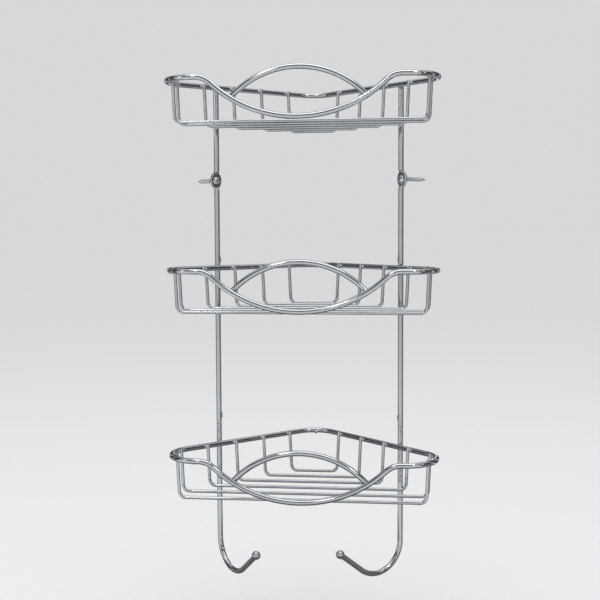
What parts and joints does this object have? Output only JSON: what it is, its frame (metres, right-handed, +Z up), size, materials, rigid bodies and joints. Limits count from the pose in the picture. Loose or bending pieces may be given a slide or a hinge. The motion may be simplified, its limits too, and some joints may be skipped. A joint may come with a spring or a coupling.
{
  "type": "shower caddy",
  "caption": "Tiered corner shower caddy of chrome-plated wire: baskets with dipped front rails and arches on upright wall rods with screw eyelets, and ball-ended hooks below.",
  "frame": {"origin": "outermost point of the top basket's back corner, at the height of its rim's axis, on the plane of symmetry", "axes": "+Z up, -Y from the wall corner into the room, +X to the right seen from the room; the walls stand at 45 degrees to X and Y"},
  "size_m": [0.243, 0.1573, 0.4635],
  "materials": {
    "rim_chrome": "polished chrome plate on 5 mm steel wire",
    "thin_wire_chrome": "polished chrome plate on 3 mm steel wire",
    "rod_chrome": "polished chrome plate on 5 mm steel rod",
    "ball_chrome": "polished chrome ball",
    "screw_steel": "plain bright steel"
  },
  "bodies": {
    "root": {"top_rim": "rim_chrome", "top_arch": "rim_chrome", "top_floor_wire_1": "thin_wire_chrome", "top_floor_wire_2": "thin_wire_chrome", "top_floor_wire_3": "thin_wire_chrome", "top_floor_wire_4": "thin_wire_chrome", "top_floor_wire_5": "thin_wire_chrome", "top_floor_wire_6": "thin_wire_chrome", "middle_rim": "rim_chrome", "middle_arch": "rim_chrome", "middle_floor_wire_1": "thin_wire_chrome", "middle_floor_wire_2": "thin_wire_chrome", "middle_floor_wire_3": "thin_wire_chrome", "middle_floor_wire_4": "thin_wire_chrome", "middle_floor_wire_5": "thin_wire_chrome", "middle_floor_wire_6": "thin_wire_chrome", "bottom_rim": "rim_chrome", "bottom_arch": "rim_chrome", "bottom_floor_wire_1": "thin_wire_chrome", "bottom_floor_wire_2": "thin_wire_chrome", "bottom_floor_wire_3": "thin_wire_chrome", "bottom_floor_wire_4": "thin_wire_chrome", "bottom_floor_wire_5": "thin_wire_chrome", "bottom_floor_wire_6": "thin_wire_chrome", "left_upper_rod": "rod_chrome", "left_middle_rod": "rod_chrome", "left_lower_rod": "rod_chrome", "left_hook_ball": "ball_chrome", "left_screw": "screw_steel", "right_upper_rod": "rod_chrome", "right_middle_rod": "rod_chrome", "right_lower_rod": "rod_chrome", "right_hook_ball": "ball_chrome", "right_screw": "screw_steel"}
  },
  "joints": []
}
